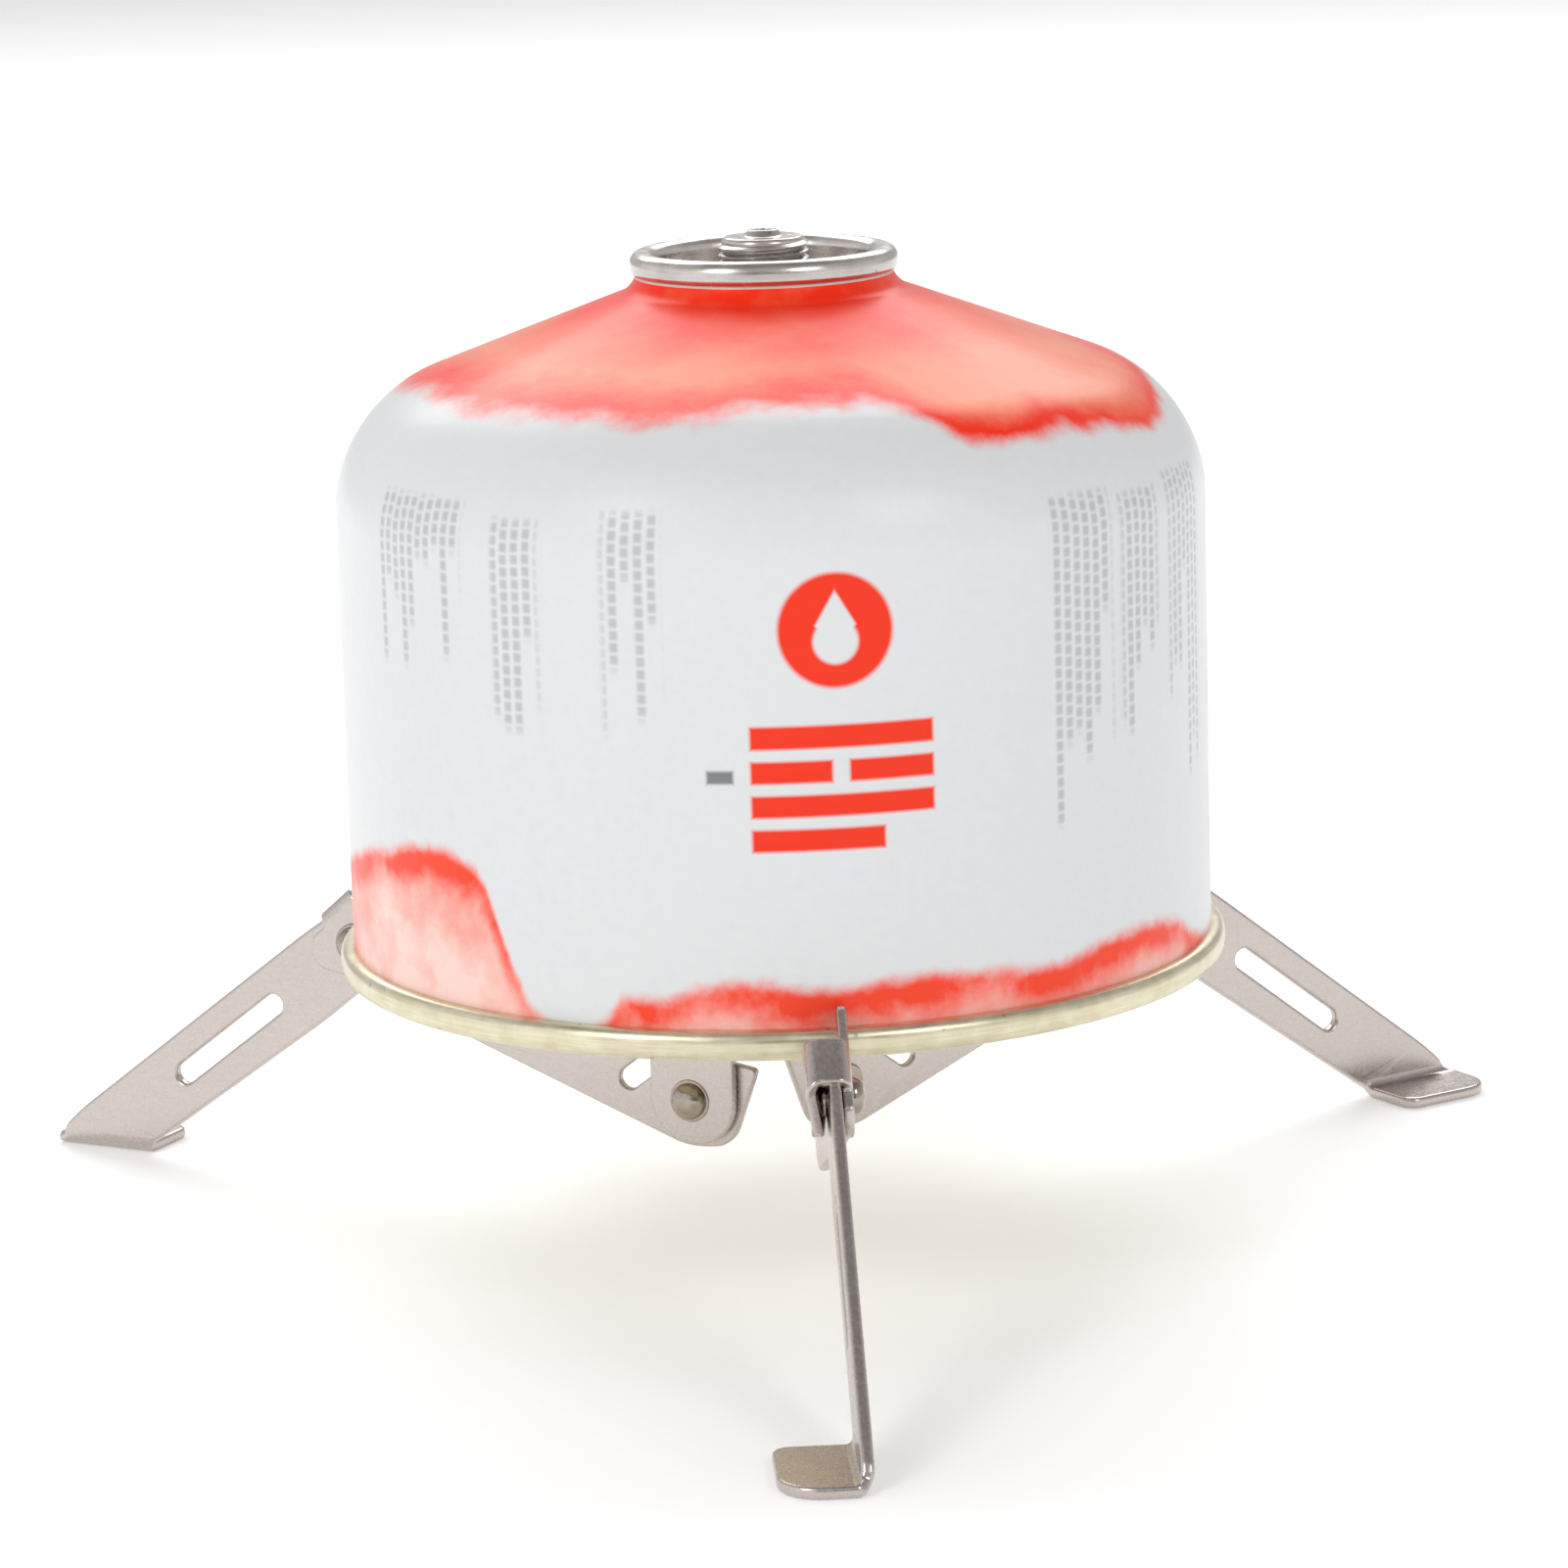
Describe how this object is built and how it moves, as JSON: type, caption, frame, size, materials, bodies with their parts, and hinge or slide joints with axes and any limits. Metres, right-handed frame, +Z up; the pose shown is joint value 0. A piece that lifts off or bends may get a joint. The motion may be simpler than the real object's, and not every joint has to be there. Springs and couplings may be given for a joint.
{
  "type": "canister stove",
  "caption": "Screw-valve gas canister held at its bottom seam by a folding sheet-steel tripod stand with hinged arms and legs.",
  "frame": {"origin": "on the canister's axis, at the level that the feet stand on", "axes": "+Z up along the canister's axis and valve; -Y out along the front leg, +X to its right"},
  "size_m": [0.1922, 0.1683, 0.1253],
  "materials": {
    "can_enamel": "glossy enamel, white with a red-orange shoulder and bands",
    "gold_lacquered_tinplate": "gold-tinted lacquer on tinplate",
    "bare_tinplate": "bright tinplate, lightly scuffed",
    "valve_rubber": "moulded nitrile",
    "spring_steel": "drawn wire",
    "white_acetal": "moulded",
    "grey_acetal": "moulded",
    "stainless_sheet": "satin, tumbled edges",
    "polished_rivet": "polished stainless"
  },
  "bodies": {
    "canister": {"can_body": "can_enamel", "base_end": "gold_lacquered_tinplate", "valve_cup": "bare_tinplate", "cup_gasket": "valve_rubber", "valve_turret": "bare_tinplate", "stem_gasket": "valve_rubber", "valve_spring": "spring_steel", "valve_housing": "white_acetal"},
    "valve_stem": {"valve_pin": "grey_acetal"},
    "hub": {"hub_plate": "stainless_sheet", "hub_rivet_1": "polished_rivet", "hub_rivet_2": "polished_rivet", "hub_rivet_3": "polished_rivet"},
    "arm_1": {"arm_1": "stainless_sheet", "knee_rivet_1": "polished_rivet"},
    "leg_1": {"leg_1": "stainless_sheet"},
    "arm_2": {"arm_2": "stainless_sheet", "knee_rivet_2": "polished_rivet"},
    "leg_2": {"leg_2": "stainless_sheet"},
    "arm_3": {"arm_3": "stainless_sheet", "knee_rivet_3": "polished_rivet"},
    "leg_3": {"leg_3": "stainless_sheet"}
  },
  "joints": [
    {"name": "valve_press", "type": "slide", "parent": "canister", "child": "valve_stem", "axis": [0, 0, -1], "range_m": [0, 0.0015], "stiffness_N_per_m": 2500, "springref_m": -0.0004, "deforming": ["valve_spring"]},
    {"name": "hub_lift", "type": "slide", "parent": "canister", "child": "hub", "axis": [0, 0, 1], "range_m": [0, 0.008]},
    {"name": "arm_1_pivot", "type": "hinge", "parent": "hub", "child": "arm_1", "pos_m": [0.00365, -0.0109, 0.01605], "axis": [1, 0, 0], "range_deg": [0, 10.1]},
    {"name": "leg_1_fold", "type": "hinge", "parent": "arm_1", "child": "leg_1", "pos_m": [0.00215, -0.0598, 0.0319], "axis": [1, 0, 0], "range_deg": [0, 100]},
    {"name": "arm_2_pivot", "type": "hinge", "parent": "hub", "child": "arm_2", "pos_m": [0.00761, 0.00861, 0.01605], "axis": [-0.5, 0.866, 0], "range_deg": [0, 10.1]},
    {"name": "leg_2_fold", "type": "hinge", "parent": "arm_2", "child": "leg_2", "pos_m": [0.05071, 0.03176, 0.0319], "axis": [-0.5, 0.866, 0], "range_deg": [0, 100]},
    {"name": "arm_3_pivot", "type": "hinge", "parent": "hub", "child": "arm_3", "pos_m": [-0.01126, 0.00229, 0.01605], "axis": [-0.5, -0.866, 0], "range_deg": [0, 10.1]},
    {"name": "leg_3_fold", "type": "hinge", "parent": "arm_3", "child": "leg_3", "pos_m": [-0.05286, 0.02804, 0.0319], "axis": [-0.5, -0.866, 0], "range_deg": [0, 100]}
  ],
  "couplings": [
    {"joint": "arm_1_pivot", "follows": "hub_lift", "rad_per_m": 21.9},
    {"joint": "arm_2_pivot", "follows": "hub_lift", "rad_per_m": 21.9},
    {"joint": "arm_3_pivot", "follows": "hub_lift", "rad_per_m": 21.9}
  ]
}
